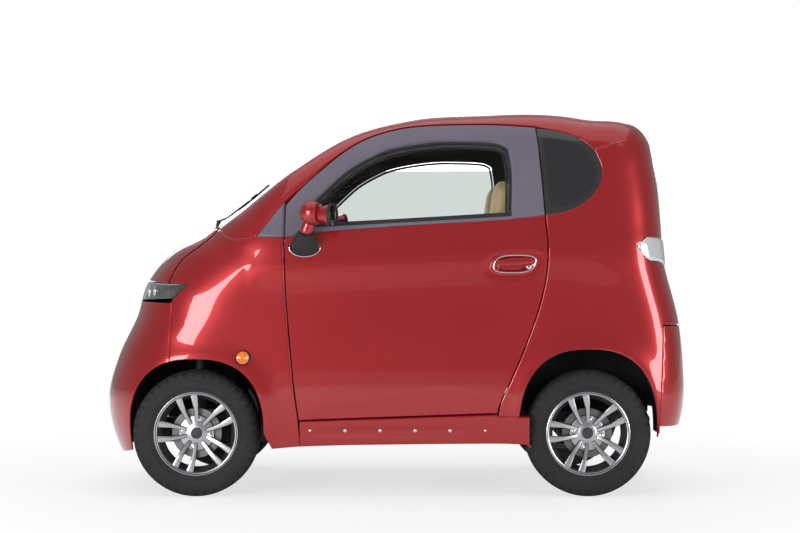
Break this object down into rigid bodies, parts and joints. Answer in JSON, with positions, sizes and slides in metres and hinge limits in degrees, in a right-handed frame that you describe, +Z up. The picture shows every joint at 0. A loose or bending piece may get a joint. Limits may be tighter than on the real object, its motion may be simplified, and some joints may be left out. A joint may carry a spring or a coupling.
{
  "type": "microcar",
  "caption": "Small enclosed electric city car with hinged side doors, lifting hood and tailgate, steered front wheels, spoked wheels and a glazed cabin with seats",
  "frame": {"origin": "middle of the bounding box, on the road under the tyres", "axes": "+X towards the tail, so the nose points to -X; +Y towards the car's right side; +Z up"},
  "size_m": [2.4017, 1.4992, 1.5785],
  "materials": {
    "floor_pan": "satin black",
    "chassis_frame": "satin black",
    "battery_box": "matt",
    "front_suspension": "satin black",
    "rear_axle": "painted casting",
    "front_bumper": "gloss metallic red",
    "fenders": "gloss metallic red",
    "windscreen": "clear",
    "cowl": "matt black",
    "roof": "gloss metallic red",
    "corner_trims": "satin grey",
    "quarter_panels": "gloss metallic red",
    "quarter_glasses": "dark tint",
    "rear_bumper": "gloss metallic red",
    "sills": "gloss metallic red",
    "headlamps": "clear lens",
    "tail_lamps": "clear lens",
    "side_markers": "amber lens",
    "wheel_liners": "moulded",
    "dashboard": "grained tan",
    "seats": "tan",
    "steering_wheel": "black",
    "hood": "gloss metallic red",
    "tailgate": "gloss metallic red",
    "rear_glass": "clear",
    "door_skin_left": "gloss metallic red",
    "door_frame_left": "satin grey",
    "door_glass_left": "clear",
    "door_handle_left": "gloss metallic red",
    "mirror_left": "gloss metallic red",
    "knuckle_left": "cast",
    "door_skin_right": "gloss metallic red",
    "door_frame_right": "satin grey",
    "door_glass_right": "clear",
    "door_handle_right": "gloss metallic red",
    "mirror_right": "gloss metallic red",
    "knuckle_right": "cast",
    "tyre_fl": "rubber",
    "rim_fl": "machined face",
    "tyre_fr": "rubber",
    "rim_fr": "machined face",
    "tyre_rl": "rubber",
    "rim_rl": "machined face",
    "tyre_rr": "rubber",
    "rim_rr": "machined face"
  },
  "bodies": {
    "car_body": {"floor_pan": "floor_pan", "chassis_frame": "chassis_frame", "battery_box": "battery_box", "front_suspension": "front_suspension", "rear_axle": "rear_axle", "front_bumper": "front_bumper", "fenders": "fenders", "windscreen": "windscreen", "cowl": "cowl", "roof": "roof", "corner_trims": "corner_trims", "quarter_panels": "quarter_panels", "quarter_glasses": "quarter_glasses", "rear_bumper": "rear_bumper", "sills": "sills", "headlamps": "headlamps", "tail_lamps": "tail_lamps", "side_markers": "side_markers", "wheel_liners": "wheel_liners", "dashboard": "dashboard", "seats": "seats"},
    "hood": {"hood": "hood"},
    "tailgate": {"tailgate": "tailgate", "rear_glass": "rear_glass"},
    "door_left": {"door_skin_left": "door_skin_left", "door_frame_left": "door_frame_left", "door_glass_left": "door_glass_left", "door_handle_left": "door_handle_left", "mirror_left": "mirror_left"},
    "door_right": {"door_skin_right": "door_skin_right", "door_frame_right": "door_frame_right", "door_glass_right": "door_glass_right", "door_handle_right": "door_handle_right", "mirror_right": "mirror_right"},
    "knuckle_left": {"knuckle_left": "knuckle_left"},
    "knuckle_right": {"knuckle_right": "knuckle_right"},
    "steering_wheel": {"steering_wheel": "steering_wheel"},
    "wheel_fl": {"tyre_fl": "tyre_fl", "rim_fl": "rim_fl"},
    "wheel_fr": {"tyre_fr": "tyre_fr", "rim_fr": "rim_fr"},
    "wheel_rl": {"tyre_rl": "tyre_rl", "rim_rl": "rim_rl"},
    "wheel_rr": {"tyre_rr": "tyre_rr", "rim_rr": "rim_rr"}
  },
  "joints": [
    {"name": "steer_left", "type": "hinge", "parent": "car_body", "child": "knuckle_left", "pos_m": [-0.788, -0.502, 0.254], "axis": [0, 0.2351, 0.972], "range_deg": [-30, 30]},
    {"name": "steer_right", "type": "hinge", "parent": "car_body", "child": "knuckle_right", "pos_m": [-0.788, 0.502, 0.254], "axis": [0, -0.2351, 0.972], "range_deg": [-30, 30]},
    {"name": "steering_wheel_turn", "type": "hinge", "parent": "car_body", "child": "steering_wheel", "pos_m": [-0.195, -0.27, 0.88], "axis": [0.8829, 0, 0.4695], "range_deg": [-450, 450]},
    {"name": "front_left_spin", "type": "hinge", "parent": "knuckle_left", "child": "wheel_fl", "pos_m": [-0.788, -0.527, 0.254], "axis": [0, 1, 0], "continuous": true},
    {"name": "front_right_spin", "type": "hinge", "parent": "knuckle_right", "child": "wheel_fr", "pos_m": [-0.788, 0.527, 0.254], "axis": [0, 1, 0], "continuous": true},
    {"name": "rear_left_spin", "type": "hinge", "parent": "car_body", "child": "wheel_rl", "pos_m": [0.784, -0.527, 0.254], "axis": [0, 1, 0], "continuous": true},
    {"name": "rear_right_spin", "type": "hinge", "parent": "car_body", "child": "wheel_rr", "pos_m": [0.784, 0.527, 0.254], "axis": [0, 1, 0], "continuous": true},
    {"name": "door_left_hinge", "type": "hinge", "parent": "car_body", "child": "door_left", "pos_m": [-0.4345, -0.636, 0.6], "axis": [0, 0, 1], "range_deg": [-65, 0]},
    {"name": "door_right_hinge", "type": "hinge", "parent": "car_body", "child": "door_right", "pos_m": [-0.4345, 0.636, 0.6], "axis": [0, 0, 1], "range_deg": [0, 65]},
    {"name": "hood_hinge", "type": "hinge", "parent": "car_body", "child": "hood", "pos_m": [-0.705, 0, 1.088], "axis": [0, 1, 0], "range_deg": [0, 50]},
    {"name": "tailgate_hinge", "type": "hinge", "parent": "car_body", "child": "tailgate", "pos_m": [1.082, 0, 1.421], "axis": [0, 1, 0], "range_deg": [-70, 0]}
  ],
  "couplings": [
    {"joint": "steer_right", "follows": "steer_left", "ratio": 1},
    {"joint": "steering_wheel_turn", "follows": "steer_left", "ratio": 15}
  ]
}
